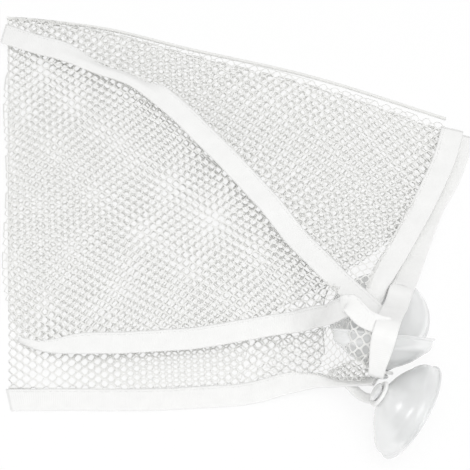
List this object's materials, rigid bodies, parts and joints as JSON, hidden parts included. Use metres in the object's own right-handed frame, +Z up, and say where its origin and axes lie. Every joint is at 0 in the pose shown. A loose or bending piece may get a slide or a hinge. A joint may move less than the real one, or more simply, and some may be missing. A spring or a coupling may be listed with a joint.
{
  "type": "bath toy organizer",
  "caption": "Net bag with tape-bound edges, folded flat, that hangs on a tiled wall from suction cups buttoned through tabs at its corner and holds wet toys while they drain.",
  "frame": {"origin": "middle of the bounding box on the surface that the folded bag lies on", "axes": "+Z up from the surface; +X along the free tapes from the left fold to the cups; +Y from the base tape to the top fold"},
  "size_m": [0.2596, 0.2776, 0.0629],
  "materials": {
    "net": "warp-knitted polyester net, matt white",
    "tape": "woven polyester binding tape, matt white",
    "vinyl": "moulded soft PVC, milky and glossy"
  },
  "bodies": {
    "bag": {"under_net": "net", "back_net": "net", "corner_net": "net", "side_net": "net", "flap_net": "net", "flap_binding": "tape", "side_binding": "tape", "base_binding": "tape", "flap_end_binding": "tape", "rear_end_binding": "tape", "upper_tab": "tape", "middle_tab": "tape", "lower_tab": "tape"},
    "upper_cup": {"upper_cup": "vinyl"},
    "middle_cup": {"middle_cup": "vinyl"},
    "lower_cup": {"lower_cup": "vinyl"}
  },
  "joints": [
    {"name": "upper_cup_turn", "type": "hinge", "parent": "bag", "child": "upper_cup", "pos_m": [0.0751, -0.04946, 0], "axis": [0, 0, -1], "continuous": true},
    {"name": "middle_cup_turn", "type": "hinge", "parent": "bag", "child": "middle_cup", "pos_m": [0.07416, -0.07671, 0.0367], "axis": [0.105, 0.878, 0.467], "continuous": true},
    {"name": "lower_cup_turn", "type": "hinge", "parent": "bag", "child": "lower_cup", "pos_m": [0.08805, -0.11427, 0.02351], "axis": [0.843, -0.327, -0.427], "continuous": true}
  ]
}
